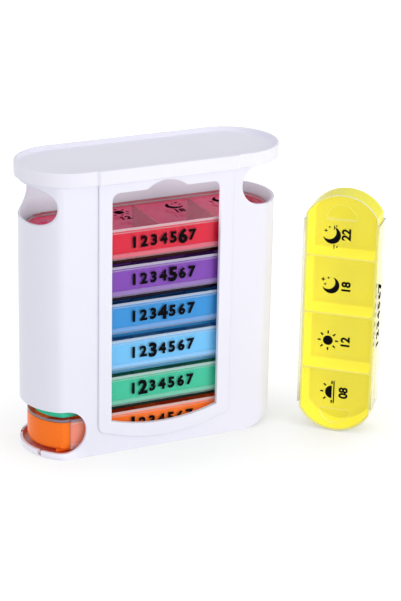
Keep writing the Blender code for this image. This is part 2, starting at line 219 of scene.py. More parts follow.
def panelOutline(inset=0):
    half = panel["width"] / 2 - inset
    radius = panel["cornerRadius"] - inset
    lowest = panel["footHeight"] + inset
    footRadius = panel["footRadius"] - inset
    inner = half - radius
    foot = footArc(inner, footRadius, lowest)
    lean = math.asin(inner / footRadius)
    cornerX = inner - radius * math.sin(lean)
    cornerZ = foot[-1][1] + radius * math.cos(lean)
    corner = arcPoints((cornerX, cornerZ), radius, -quarterTurn + lean, 0, steps=10)
    shift = half - corner[-1][0]
    right = [(x + shift, z) for x, z in corner]
    top = panel["top"]
    return flipped(right) + foot[1:-1] + right + [(half, top), (-half, top)]


def windowOutline():
    half = window["width"] / 2
    foot = footArc(half, window["footRadius"], window["footHeight"])
    radius = window["cornerRadius"]
    corner = arcPoints((half - radius, window["top"] - radius), radius, 0, quarterTurn, steps=10)
    notchHalf, rise = window["notchWidth"] / 2, window["notchRise"]
    notchRadius = (notchHalf ** 2 + rise ** 2) / (2 * rise)
    spread = math.asin(notchHalf / notchRadius)
    notch = arcPoints((0, window["top"] + rise - notchRadius), notchRadius,
                      quarterTurn - spread, quarterTurn + spread, steps=24)
    return foot + corner + notch + flipped(corner)


def slotOutline(slot, side):
    radius = (slot["high"] - slot["low"]) / 2
    middle = (slot["high"] + slot["low"]) / 2
    centre = tower["width"] / 2 - slot["reach"] + radius
    inner = arcPoints((centre, middle), radius, quarterTurn, 3 * quarterTurn, steps=36)
    far = tower["width"] / 2 + beyond
    right = inner + [(far, slot["low"]), (far, slot["high"])]
    return right if side > 0 else flipped(right)


def quarterInset(radius, rise):  # how far in a quarter round lies at a height above its foot
    return radius - math.sqrt(radius ** 2 - max(radius - rise, 0) ** 2)


def sleeve(name, offset, bottom, top, radii):  # both ends are drawn in along a quarter round below
    rises = sorted({rise for radius in radii for inset, rise in rounding(radius, steps=12)})
    rings = [along(towerOutline(offset, [quarterInset(radius, rise) for radius in radii]), bottom + rise)
             for rise in rises]
    return loft(name, rings + [along(towerOutline(offset), top)])


def windowTool(front):  # cuts the window, with a rounded edge outside and inside
    outer, inner = front - panel["proud"], front + tower["wall"]
    rings = [along(grown(windowOutline(), window["outerRound"]), front - beyond, "Y")]
    for spread, depth in rounding(window["outerRound"], steps=4):
        rings.append(along(grown(windowOutline(), spread), outer + depth, "Y"))
    for spread, depth in rounding(window["innerRound"], steps=3, rising=False):
        rings.append(along(grown(windowOutline(), spread), inner + depth, "Y"))
    rings.append(along(grown(windowOutline(), window["innerRound"]), front + beyond, "Y"))
    return loft("windowTool", rings)


def makeShell():
    radii = (tower["baseCorner"], tower["outletFoot"])
    shell = sleeve("towerShell", 0, 0, tower["top"], radii)
    end, front = tower["width"] / 2, -tower["depth"] / 2
    reach = -front + beyond
    rings = [along(panelOutline(), front + panel["sink"], "Y")]
    for inset, back in reversed(rounding(panel["edge"], steps=5)):
        rings.append(along(panelOutline(inset), front - panel["proud"] + back, "Y"))
    combine(shell, loft("panelTool", rings), "UNION")
    inside = [radius - tower["wall"] for radius in radii]
    combine(shell, sleeve("cavityTool", -tower["wall"], tower["floor"], tower["top"] + beyond, inside))
    combine(shell, windowTool(front))
    combine(shell, prism("inletTool", slotOutline(inlet, 1), -reach, reach, "Y"))
    finger = arcPoints((fingerHole["x"], fingerHole["z"]), fingerHole["radius"], 0, fullTurn, steps=72)[:-1]
    combine(shell, prism("fingerTool", finger, -reach, reach, "Y"))
    combine(shell, prism("outletTool", slotOutline(outlet, -1), -reach, reach, "Y"))
    for side in (1, -1):
        low, high = (side * runnerWay["middle"] + part * runnerWay["half"] for part in (-1, 1))
        way = [(-end - beyond, low), (runnerWay["inner"], low),
               (runnerWay["inner"], high), (-end - beyond, high)]
        combine(shell, prism("wayTool", way, runnerWay["floor"], outlet["low"] + beyond))
    return toMetres(settle(shell))


# Tray

tray = dict(width=166.8, depth=61.4, low=171.4, high=180.0, rim=1.6, floor=177.0, ceiling=175.0,
            seatGap=0.3, bulgeHalf=45.0, bulgeProud=1.4, bulgeFade=0.2, shoulder=2.6, shoulderSteps=8,
            rimRound=0.7, footRound=0.4, dishRound=0.9)


def trayOutline(inset=0, bulge=1.0):
    depth = tray["depth"] - 2 * inset
    right = roundEnd(tray["width"] - 2 * inset, depth, depth / 2, steps=56)
    front = -depth / 2
    step = []
    for i in range(tray["shoulderSteps"] + 1):  # the front stands a little proud over the panel
        t = i / tray["shoulderSteps"]
        x = tray["bulgeHalf"] + tray["shoulder"] * (0.5 - t)
        step.append((-x, front - bulge * tray["bulgeProud"] * t * t * (3 - 2 * t)))
    return step + flipped(step) + right + turned(right)


def seatOutline():  # the tower's outline with a gap, where rays through the tray's own points meet it
    source = towerOutline(tray["seatGap"])
    points = []
    for angle in [math.atan2(y, x) for x, y in trayOutline()]:
        across, up = math.cos(angle), math.sin(angle)
        for (ax, ay), (bx, by) in zip(source, source[1:] + source[:1]):
            side1, side2 = across * ay - up * ax, across * by - up * bx
            if side1 <= 0 < side2 or side1 >= 0 > side2:
                t = side1 / (side1 - side2)
                x, y = ax + (bx - ax) * t, ay + (by - ay) * t
                if x * across + y * up > 0:
                    points.append((x, y))
                    break
    return points


def makeTray():
    rings = [along(seatOutline(), tray["ceiling"]), along(seatOutline(), tray["low"])]
    for inset, height in rounding(tray["footRound"], steps=3):
        rings.append(along(trayOutline(inset), tray["low"] + height))
    for inset, height in rounding(tray["rimRound"], steps=5, rising=False):
        rings.append(along(trayOutline(inset, 1 - tray["bulgeFade"] * inset), tray["high"] + height))
    inner = tray["rim"]
    for inset, height in reversed(rounding(tray["rimRound"], steps=5, rising=False)):
        rings.append(along(trayOutline(inner - inset, 0), tray["high"] + height))
    for inset, height in reversed(rounding(tray["dishRound"], steps=5)):
        rings.append(along(trayOutline(inner + inset, 0), tray["floor"] + height))
    return toMetres(loft("topTray", rings))


# Day box body

dayBox = dict(length=153.4, width=44.4, endRadius=25.4, bottom=3.3, top=21.0, wall=1.3, bottomRound=2.6,
              rimRound=0.25, divider=1.0, pitch=36.7, pocketFloor=4.5, pocketRound=6.0, pocketCorner=1.6,
              cornerFade=0.2, leastCorner=0.3, grooveInside=21.1, grooveTop=6.6)
pocketRim = [(0.075, -0.5), (0, -0.25), (0.25, 0), (0.25, 1.0)]  # (spread, height) from the box's top
runner = dict(middle=15.2, half=0.8, reach=66.0, sink=0.6, round=0.3)
foot = dict(reach=73.8, halfWidth=20.0, endRadius=24.0, cornerRadius=3.5, round=0.8)


def boxOutline(inset=0):
    return roundEnded(dayBox["length"] - 2 * inset, dayBox["width"] - 2 * inset, dayBox["endRadius"] - inset)


def pocketOutline(kind, inset=0):
    half = dayBox["width"] / 2 - dayBox["wall"] - inset
    gap = dayBox["divider"] / 2 + inset
    radius = max(dayBox["leastCorner"], dayBox["pocketCorner"] - inset * dayBox["cornerFade"])
    if kind == "inner":
        return roundedRectangle(gap, dayBox["pitch"] - gap, -half, half, radius)
    endRadius = dayBox["endRadius"] - dayBox["wall"] - inset
    right = roundEnd(dayBox["length"] - 2 * (dayBox["wall"] + inset), 2 * half, endRadius)
    x = dayBox["pitch"] + gap
    top = arcPoints((x + radius, half - radius), radius, quarterTurn, math.pi, steps=5)
    low = arcPoints((x + radius, -half + radius), radius, math.pi, 3 * quarterTurn, steps=5)
    return right + top + low


def footTool():
    rings = []
    for inset, height in rounding(foot["round"], steps=4) + [(0, dayBox["bottom"] + runner["sink"])]:
        outline = roundEnded(2 * (foot["reach"] - inset), 2 * (foot["halfWidth"] - inset),
                             foot["endRadius"] - inset, foot["cornerRadius"] - inset, steps=24, cornerSteps=5)
        rings.append(along(outline, height))
    return loft("footTool", rings)


def runnerTool(side):
    rings = []
    for inset, height in rounding(runner["round"], steps=3):
        strip = roundedRectangle(-runner["reach"] + inset, runner["reach"] - inset,
                                 side * runner["middle"] - runner["half"] + inset,
                                 side * runner["middle"] + runner["half"] - inset, runner["half"])
        rings.append(along(strip, height))
    rings.append(along(strip, dayBox["bottom"] + runner["sink"]))
    return loft("runnerTool", rings)


def pocketTool(kind, side):
    rings = []
    for inset, height in rounding(dayBox["pocketRound"], steps=7):
        rings.append(along(pocketOutline(kind, inset), dayBox["pocketFloor"] + height))
    for spread, height in pocketRim:
        rings.append(along(pocketOutline(kind, -spread), dayBox["top"] + height))
    if side < 0:
        rings = [[(-x, -y, z) for x, y, z in ring] for ring in rings]
    return loft("pocketTool", rings)


def makeBody(footed):  # on a round-ended foot, or on two runners that pass the outlet's sill
    rings = []
    for inset, height in rounding(dayBox["bottomRound"], steps=8):
        rings.append(along(boxOutline(inset), dayBox["bottom"] + height))
    for inset, height in rounding(dayBox["rimRound"], steps=2, rising=False):
        rings.append(along(boxOutline(inset), dayBox["top"] + height))
    body = loft("dayBoxBody", rings)
    reachX, reachY = dayBox["length"] / 2 + beyond, dayBox["width"] / 2 + beyond
    if footed:
        combine(body, footTool(), "UNION")
    for side in (1, -1):
        if not footed:
            combine(body, runnerTool(side), "UNION")
        yLow, yHigh = sorted((side * dayBox["grooveInside"], side * reachY))
        groove = [(-reachX, yLow), (reachX, yLow), (reachX, yHigh), (-reachX, yHigh)]
        combine(body, prism("grooveTool", groove, -beyond, dayBox["grooveTop"]))
    for kind, side in (("inner", 1), ("inner", -1), ("outer", 1), ("outer", -1)):
        combine(body, pocketTool(kind, side))
    return toMetres(settle(body, weld=0.01))


# Clear sliding cover

cover = dict(bottom=21.3, top=23.0, edge=0.3, reach=59.6, outside=23.5, inside=22.5, low=3.6,
             hookInside=21.4, hookTop=6.3, step=20.1, stepDepth=0.1, round=0.3)
thumb = dict(radius=8.9, centre=62.1, depth=0.8, slope=1.1, flare=0.25, lowLean=0.3, highLean=0.9)


def coverSection():  # seen along the cover: a channel with hooked lower edges
    outside, inside, low, r = cover["outside"], cover["inside"], cover["low"], cover["round"]
    face = outside - cover["stepDepth"]
    right = [(cover["hookInside"] + r, low)]
    right += arcPoints((face - r, low + r), r, -quarterTurn, 0, steps=3)
    right += [(face, cover["step"]), (outside, cover["step"] + cover["stepDepth"])]
    right += arcPoints((outside - r, cover["top"] - r), r, 0, quarterTurn, steps=3)
    back = [(inside, cover["bottom"]), (inside, cover["hookTop"]),
            (cover["hookInside"] + r, cover["hookTop"]), (cover["hookInside"], cover["hookTop"] - r),
            (cover["hookInside"], low + r)]
    return right + [(-y, z) for y, z in reversed(right)] + [(-y, z) for y, z in reversed(back)] + back


def thumbOutline(side, spread, lean):  # half round, its straight side towards the middle
    radius = thumb["radius"] + spread
    limit = math.acos(-lean / radius)
    right = arcPoints((thumb["centre"], 0), radius, -limit, limit, steps=40)
    return right if side > 0 else turned(right)


def thumbTool(side):
    depth, flare, slope = thumb["depth"], thumb["flare"], thumb["slope"]
    # (rise, spread, lean) of each ring
    steps = [(0, -flare, 0), (flare, 0, thumb["lowLean"] * slope),
             (depth - flare / 2, 0, thumb["highLean"] * slope),
             (depth, flare / 2, slope), (depth + 1, flare / 2, slope)]
    rings = [along(thumbOutline(side, spread, lean), cover["top"] - depth + rise)
             for rise, spread, lean in steps]
    return loft("thumbTool", rings)


def makeCover():
    rings = []
    for inset, height in rounding(cover["edge"] / 2, steps=2):
        rings.append(along(boxOutline(inset), cover["bottom"] + height))
    for inset, height in rounding(cover["edge"], steps=3, rising=False):
        rings.append(along(boxOutline(inset), cover["top"] + height))
    plate = loft("dayBoxCover", rings)
    combine(plate, prism("channelTool", coverSection(), -cover["reach"], cover["reach"], "X"), "UNION")
    for side in (1, -1):
        combine(plate, thumbTool(side))
    return toMetres(settle(plate, weld=0.01))


# Prints: each cover has four hours with sun and moon pictures, and the day's number among seven

prints = dict(thickness=0.05, hourHeight=5.8, hourWeight=0.24, dayHeight=9.4, weekHeight=7.2,
              weekWeight=0.34, dayWeight=0.46, dayPitch=6.3, dayLevel=13.6, rayHalf=0.6, rayTaper=0.7,
              starWaist=0.38, moonTilt=45, fontSize=10, fontSteps=4)
hours = [("08", (-50.4, -5.6)), ("12", (-16.4, -5.4)), ("18", (19.5, -4.4)), ("22", (52.5, -3.2))]
risingSun = dict(place=(-50.5, 1.6), radius=4.2, rays=(5.4, 7.4), horizonHalf=7.4, horizon=(-1.7, -0.9))
noonSun = dict(place=(-16.6, 5.4), radius=3.1, rays=(4.5, 6.5))
eveningMoon = dict(place=(19.4, 5.0), radius=5.3, bite=4.5, shift=2.6, clouds=[],
                   stars=[(3.4, 4.9, 1.6), (0.4, 3.6, 1.1), (4.6, 1.6, 1.1)])
nightMoon = dict(place=(51.4, 5.6), radius=5.5, bite=4.6, shift=2.7, cloudDepth=0.6,
                 clouds=[(3.6, -1.6, 2.6), (5.4, -3.0, 1.2), (-8.6, -1.8, 2.8), (-8.0, -3.6, 1.5)],
                 stars=[(2.6, 3.8, 1.4), (5.0, 1.6, 1.0)])


def flatNumber(text, height, middle, weight):  # a number as a thin solid, its middle at a point
    curve = bpy.data.curves.new("number", "FONT")
    curve.body = text
    curve.size = prints["fontSize"]
    curve.extrude = prints["thickness"] / 2
    curve.offset = weight * curve.size / height
    curve.resolution_u = prints["fontSteps"]
    guide = newPiece("number", curve)
    mesh = evaluatedMesh(guide)
    bpy.data.objects.remove(guide)
    xs = [v.co.x for v in mesh.vertices]
    ys = [v.co.y for v in mesh.vertices]
    scale = height / (max(ys) - min(ys))
    centre = Vector(((max(xs) + min(xs)) / 2, (max(ys) + min(ys)) / 2, 0))
    lift = Matrix.Translation((middle[0], middle[1], prints["thickness"] / 2))
    mesh.transform(lift @ Matrix.Diagonal((scale, scale, 1, 1)) @ Matrix.Translation(-centre))
    return mesh


def flatShape(outline):
    piece = prism("shape", outline, 0, prints["thickness"])
    mesh = piece.data
    bpy.data.objects.remove(piece)
    return mesh


def placed(points, centre, angle):  # turned about the origin, then moved
    c, s = math.cos(angle), math.sin(angle)
    return [(centre[0] + u * c - v * s, centre[1] + u * s + v * c) for u, v in points]


def sunRay(centre, angle, start, end):
    half, tip = prints["rayHalf"], prints["rayHalf"] * prints["rayTaper"]
    return placed([(start, -half), (end, -tip), (end, tip), (start, half)], centre, angle)


def star(centre, radius):  # with four points
    outline = []
    for i in range(8):
        r = radius if i % 2 == 0 else radius * prints["starWaist"]
        angle = quarterTurn + math.pi * i / 4
        outline.append((centre[0] + r * math.cos(angle), centre[1] + r * math.sin(angle)))
    return outline


def crescent(centre, radius, bite, shift):
    # the outer arc of one circle and the inner arc of a second one that covers part of it
    meet = math.acos((radius ** 2 + shift ** 2 - bite ** 2) / (2 * radius * shift))
    inner = math.acos((bite ** 2 + shift ** 2 - radius ** 2) / (2 * bite * shift))
    outer = arcPoints((0, 0), radius, meet, fullTurn - meet, steps=40)
    hollow = arcPoints((shift, 0), bite, math.pi + inner, math.pi - inner, steps=32)
    return placed(outer + hollow[1:-1], centre, math.radians(prints["moonTilt"]))


def risingSunPicture():
    x, y = risingSun["place"]
    dome = arcPoints((x, y), risingSun["radius"], 0, math.pi, steps=32)
    half, (low, high) = risingSun["horizonHalf"], risingSun["horizon"]
    horizon = [(x - half, y + low), (x + half, y + low), (x + half, y + high), (x - half, y + high)]
    return [dome, horizon] + [sunRay((x, y), math.pi * i / 4, *risingSun["rays"]) for i in range(5)]


def noonSunPicture():
    disc = arcPoints(noonSun["place"], noonSun["radius"], 0, fullTurn, steps=48)[:-1]
    return [disc] + [sunRay(noonSun["place"], fullTurn * i / 8, *noonSun["rays"]) for i in range(8)]


def moonPicture(moon):
    x, y = moon["place"]
    shapes = [crescent((x, y), moon["radius"], moon["bite"], moon["shift"])]
    shapes += [star((x + a, y + b), size) for a, b, size in moon["stars"]]
    for a, b, width in moon["clouds"]:
        right, top = x + a + width, y + b + moon["cloudDepth"]
        shapes.append([(x + a, y + b), (right, y + b), (right, top), (x + a, top)])
    return shapes


pictures = [risingSunPicture(), noonSunPicture(), moonPicture(eveningMoon), moonPicture(nightMoon)]


def makePrint(day):
    work = bmesh.new()
    flat = [flatNumber(text, prints["hourHeight"], middle, prints["hourWeight"]) for text, middle in hours]
    flat += [flatShape(outline) for shapes in pictures for outline in shapes]
    lift = Matrix.Translation((0, 0, cover["top"]))
    onSkirt = Matrix.Translation((0, -cover["outside"] + cover["stepDepth"], prints["dayLevel"]))
    onSkirt = onSkirt @ Matrix.Rotation(quarterTurn, 4, "X")
    for mesh in flat:
        mesh.transform(lift)
        work.from_mesh(mesh)
    for number in range(1, days + 1):
        kind = "day" if number == day else "week"
        middle = ((number - (days + 1) / 2) * prints["dayPitch"], 0)
        mesh = flatNumber(str(number), prints[kind + "Height"], middle, prints[kind + "Weight"])
        mesh.transform(onSkirt)
        work.from_mesh(mesh)
    bmesh.ops.remove_doubles(work, verts=work.verts, dist=0.001)
    bmesh.ops.recalc_face_normals(work, faces=work.faces)
    mesh = bpy.data.meshes.new("dayPrint")
    work.to_mesh(mesh)
    work.free()
    mesh.transform(Matrix.Scale(mm, 4))
    return mesh


# Materials

class Wire:  # one socket that takes part in sums, each of which adds a Math node
    def __init__(self, nodes, socket):
        self.nodes, self.socket = nodes, socket

    def sum(self, operation, first, second):
        return self.nodes.add("ShaderNodeMath", {"operation": operation}, {0: first, 1: second})

    def __add__(self, other):
        return self.sum("ADD", self, other)

    def __sub__(self, other):
        return self.sum("SUBTRACT", self, other)

    def __rsub__(self, other):
        return self.sum("SUBTRACT", other, self)

    def __mul__(self, other):
        return self.sum("MULTIPLY", self, other)

    def __truediv__(self, other):
        return self.sum("DIVIDE", self, other)

    def __pow__(self, other):
        return self.sum("POWER", self, other)

    def __gt__(self, other):
        return self.sum("GREATER_THAN", self, other)

    def __lt__(self, other):
        return self.sum("LESS_THAN", self, other)

    def __abs__(self):
        return self.sum("ABSOLUTE", self, 0)

    __radd__ = __add__
    __rmul__ = __mul__


class Nodes:  # the nodes of one material or world
    def __init__(self, tree):
        self.tree = tree
        tree.nodes.clear()

    def add(self, kind, settings={}, sockets={}, output=0):
        node = self.tree.nodes.new(kind)
        for name, value in settings.items():
            setattr(node, name, value)
        for name, value in sockets.items():
            if isinstance(value, Wire):
                self.tree.links.new(value.socket, node.inputs[name])
            else:
                node.inputs[name].default_value = value
        return Wire(self, node.outputs[output]) if node.outputs else node

    def mixed(self, share, first, second):  # two colours by a share
        return self.add("ShaderNodeMix", {"data_type": "RGBA"}, {0: share, 6: first, 7: second}, 2)

    def darkened(self, share, tone):
        return self.mixed(share, tone, (0, 0, 0, 1))

    def place(self):  # a point of the piece, in its own metres
        return self.add("ShaderNodeTexCoord", {}, {}, "Object")

    def facing(self):  # the way that the surface faces
        return self.add("ShaderNodeTexCoord", {}, {}, "Normal")

    def axis(self, vector, name):  # one number of a vector
        return self.add("ShaderNodeSeparateXYZ", {}, {0: vector}, name)

    def length(self, place, name):  # one number of a place, in millimetres
        return self.axis(place, name) / mm

    def stretched(self, vector, factors):
        return self.add("ShaderNodeVectorMath", {"operation": "MULTIPLY"}, {0: vector, 1: factors})

    def noise(self, place, size, detail=2.0, stretch=(1, 1, 1)):  # size in millimetres
        return self.add("ShaderNodeTexNoise", {}, {"Vector": self.stretched(place, stretch),
                                                   "Scale": 1 / (size * mm), "Detail": detail})

    def ramp(self, value, span, share=(0.0, 1.0), style="SMOOTHSTEP"):  # runs through a share over a span
        return self.add("ShaderNodeMapRange", {"interpolation_type": style},
                        {0: value, 1: span[0], 2: span[1], 3: share[0], 4: share[1]})

    def openness(self, reach, **settings):  # how little stands near the surface, within millimetres
        return self.add("ShaderNodeAmbientOcclusion", {"samples": 8, **settings},
                        {"Distance": reach * mm}, "AO")

    def seenBy(self, *kinds):  # 1 for rays of these kinds
        return sum(self.add("ShaderNodeLightPath", {}, {}, "Is %s Ray" % kind) for kind in kinds)

    def shader(self, **sockets):
        named = {name.replace("_", " "): value for name, value in sockets.items()}
        return self.add("ShaderNodeBsdfPrincipled", {}, named)

    def surface(self, shader):
        self.add("ShaderNodeOutputMaterial", {}, {"Surface": shader})


def startMaterial(name):
    material = bpy.data.materials.new(name)
    material.use_nodes = True
    return material, Nodes(material.node_tree)


def colour(shade, factor=1.0):
    return (*[min(1.0, c * factor) for c in shade], 1)


def outwardReach(n, place):  # millimetres that a face lies out along its normal from the upright middle line
    spread = n.stretched(place, (1 / mm, 1 / mm, 0))
    return n.add("ShaderNodeVectorMath", {"operation": "DOT_PRODUCT"}, {0: spread, 1: n.facing()}, "Value")


# Light and shade that follow a place in the tower or on a box, with lengths in millimetres

# painted shade under a box: its tint is the orange box's bounce light
underBox = dict(heights=(0.5, 4.1), reach=12, covered=(0.55, 0.2), tint=(1.0, 0.20, 0.07, 1))
# where the tower's inside and sill get a painted glow
innerGlow = dict(upper=(130, 150), sillAlong=(-48, -66), sillHeight=(3, 9), sillShare=0.25,
                 emptyAlong=(-55, -40), emptyHeight=(24, 50), emptyShare=0.3)
# painted shade on the tower's inner faces
innerShade = dict(deep=0.3, anyDeep=0.2, rise=(60, 130), share=(0.1, 0.5), sillTop=4.5, sillShare=0.4,
                  slack=0.1)
# painted shade on the feet and the dividers, and a painted highlight on the rims
boxShade = dict(footEnds=(50, 60), footTop=0.4, dividerEnd=65, divider=0.3, rim=0.15, rimShare=0.18,
                rimHighlightTint=(1, 0.97, 0.85, 1))
# how the painted glow spreads over a box's walls and foot
boxGlow = dict(inside=0.5, footEnd=55, footShare=2, endLoss=0.7, openEnd=0.4)
outerFace = 20  # faces on the outside reach out further than this
innerFace = 1  # faces that look inwards, up or down reach out less than this
turnedAt = 0.6  # a face is turned along an axis where its normal has more than this of it
flatAt = 0.9
plasticIndex = 1.5


def shadeUnder(n, place, tone):  # painted shade, tinted with the orange box's bounce light, on the floor and the low inner wall where a box covers them
    height, (low, high) = n.length(place, "Z"), underBox["heights"]
    mayBeCovered = (height > low) * (height < high) * (outwardReach(n, place) < innerFace)
    covered = n.ramp(n.openness(underBox["reach"]), underBox["covered"], style="LINEAR")
    return n.mixed(mayBeCovered * covered, tone, underBox["tint"])


def paleRims(n, place, tone):  # painted highlight on the rims of the walls and dividers
    rim = n.length(place, "Z") > dayBox["top"] - boxShade["rim"]
    return n.mixed(rim * boxShade["rimShare"], tone, boxShade["rimHighlightTint"])


def stackShade(depth):  # painted shade: in the tower the foot lies deep between two boxes and is darkened, less at its open ends, and the dividers' end faces are darkened too
    def shaded(n, place, tone):
        x, height = abs(n.length(place, "X")), n.length(place, "Z")
        ends = n.ramp(x, boxShade["footEnds"], (1, 0), "LINEAR")
        endwise = abs(n.axis(n.facing(), "X")) > turnedAt
        divider = endwise * (x < boxShade["dividerEnd"]) * (height > dayBox["pocketFloor"])
        feet = (height < dayBox["bottom"] + boxShade["footTop"]) * ends
        return n.darkened(feet * depth + divider * boxShade["divider"], tone)
    return shaded


def withinWalls(n, place):
    return abs(n.length(place, "Y")) < tower["depth"] / 2 - tower["wall"] + innerShade["slack"]


def towerInside(n, place):  # painted glow: the upper inner faces, the sill and the lowest box's empty place
    x, height, reach = n.length(place, "X"), n.length(place, "Z"), outwardReach(n, place)
    upper = (reach < 0) * n.ramp(height, innerGlow["upper"], style="LINEAR")
    sill = (reach > outerFace) * n.ramp(x, innerGlow["sillAlong"])
    sill = sill * n.ramp(height, innerGlow["sillHeight"], (innerGlow["sillShare"], 0))
    empty = withinWalls(n, place) * (reach < innerFace) * (height > underBox["heights"][0])
    empty = empty * n.ramp(height, innerGlow["emptyHeight"], (innerGlow["emptyShare"], 0))
    return upper + sill + empty * n.ramp(x, innerGlow["emptyAlong"])


def innerDarkness(n, place, reach):  # painted shade: deep corners are darker, and the tower's inner faces most of all
    inner = (outwardReach(n, place) < 0) * withinWalls(n, place)
    height = n.length(place, "Z")
    base = n.ramp(height, innerShade["rise"], innerShade["share"])
    base = base + (height < innerShade["sillTop"]) * innerShade["sillShare"]
    corners = 1 - n.openness(reach, only_local=True)
    return corners * (inner * innerShade["deep"] + innerShade["anyDeep"]) + inner * base


def pocketWalls(n, place):  # where the painted glow goes: the pockets' walls and the ends of the foot
    x, y, height = abs(n.length(place, "X")), abs(n.length(place, "Y")), n.length(place, "Z")
    level = abs(n.axis(n.facing(), "Z"))
    inside = (y < dayBox["width"] / 2 - boxGlow["inside"]) * (outwardReach(n, place) < dayBox["width"])
    pocket = (level < turnedAt) * inside * (height > dayBox["pocketFloor"])
    footEnd = (height < dayBox["bottom"]) * (x > boxGlow["footEnd"]) * (level < flatAt)
    return pocket + footEnd * boxGlow["footShare"]


def stackWalls(n, place):  # painted glow in the tower: the long walls get all of it, the end walls less
    endwise = abs(n.axis(n.facing(), "X")) > turnedAt
    return pocketWalls(n, place) * (1 - endwise * boxGlow["endLoss"])


def outletWalls(n, place):  # painted glow of the lowest box, and more on its end that stands in the open
    return stackWalls(n, place) + (outwardReach(n, place) > outerFace) * boxGlow["openEnd"]


# Satin moulded plastic: faint flow tone, fine moulding grain and light rubbing along X, with painted shade,
# painted highlight and painted glow where asked

towerLook = dict(gloss=0.36, grain=0.9, coat=0.10, specular=0.4, edge=0.4, relief=0.2, crevice=25)
trayLook = dict(gloss=0.45, grain=0.9, coat=0.0, specular=0.22, edge=0, relief=0.05, crevice=0)
boxLook = dict(gloss=0.27, grain=1.1, coat=0.0, specular=0.14, edge=0, relief=0.3, crevice=0)
moulding = dict(flow=38, swell=16, rub=1.6, rubStretch=(0.05, 1, 1), rubbed=0.68, flowShare=0.8,
                toneSpread=0.03, flowRough=0.10, grainRough=0.05, rubRough=0.04, coatRough=0.12,
                relief=0.02, grainRelief=0.4, swellRelief=1.2)
paintedGlow = dict(tower=0.48, stack=0.16, outlet=0.22, loose=0.21)  # strength of the painted glow that stands in for light through the thin walls


def mouldedPlastic(name, shade, look, through=0, glowMask=None, shaded=None, glowShade=None):
    material, n = startMaterial(name)
    place = n.place()
    flow = n.noise(place, moulding["flow"], detail=3)
    grain = n.noise(place, look["grain"])
    swell = n.noise(place, moulding["swell"], detail=1)
    rubbed = n.noise(place, moulding["rub"], detail=3, stretch=moulding["rubStretch"]) > moulding["rubbed"]
    spread = moulding["toneSpread"]
    tone = n.mixed(flow * moulding["flowShare"] + grain * (1 - moulding["flowShare"]),
                   colour(shade, 1 - spread), colour(shade, 1 + spread))
    rough = look["gloss"] + (flow - 0.5) * moulding["flowRough"]
    rough = rough + (grain - 0.5) * moulding["grainRough"] + rubbed * moulding["rubRough"]
    relief = {"Strength": look["relief"], "Distance": moulding["relief"] * mm,
              "Height": grain * moulding["grainRelief"] + swell * moulding["swellRelief"]}
    if look["edge"]:
        relief["Normal"] = n.add("ShaderNodeBevel", {"samples": 4}, {"Radius": look["edge"] * mm})
    # painted shade in deep corners and on the tower's inner faces
    if look["crevice"]:
        tone = n.darkened(innerDarkness(n, place, look["crevice"]), tone)
    if shaded:
        tone = shaded(n, place, tone)
    glowColour = (0, 0, 0, 1)  # a painted glow stands in for the light that thin walls let through, which shows where little falls on them
    if glowMask:
        glowColour = n.mixed(glowMask(n, place), glowColour, colour(glowShade or shade))
    n.surface(n.shader(Base_Color=tone, Roughness=rough, Normal=n.add("ShaderNodeBump", {}, relief),
                       IOR=plasticIndex, Specular_IOR_Level=look["specular"],
                       Coat_Weight=look["coat"], Coat_Roughness=moulding["coatRough"],
                       Emission_Color=glowColour, Emission_Strength=through))
    return material


# Clear plastic by its alpha: open faces with a mirror share, pale edges and lines as painted highlight, and
# the box's colour in haze and edges as painted reflection

clear = dict(plateHaze=0.007, skirtHaze=0.004, edge=0.60, bead=0.26, ledge=0.38, slope=0.22, outline=0.5,
             endHaze=0.18, strip=0.4, most=0.92, shine=0.62, skirtShine=1.25, mirror=0.018, thumbLoss=0.8,
             borrowed=0.4, plateBorrowed=0.3, backBorrowed=0.8, rightBorrowed=0.85, dim=0.8,
             pale=(0.88, 0.89, 0.95), outlineShade=(0.50, 0.48, 0.55), nearEnd=(46, 54), beadRise=1.1,
             beadInset=0.3, ledgeHalf=0.25, thumbHalf=0.1, underPlate=0.05, slopeLevel=0.95, backInset=1,
             haze=22, hazeLeast=0.75, hazeSpread=0.5, scuff=1.1, scuffStretch=(0.06, 1, 1), scuffed=0.7,
             gloss=0.06, scuffRough=0.10, hazeRough=0.05, grazing=5)


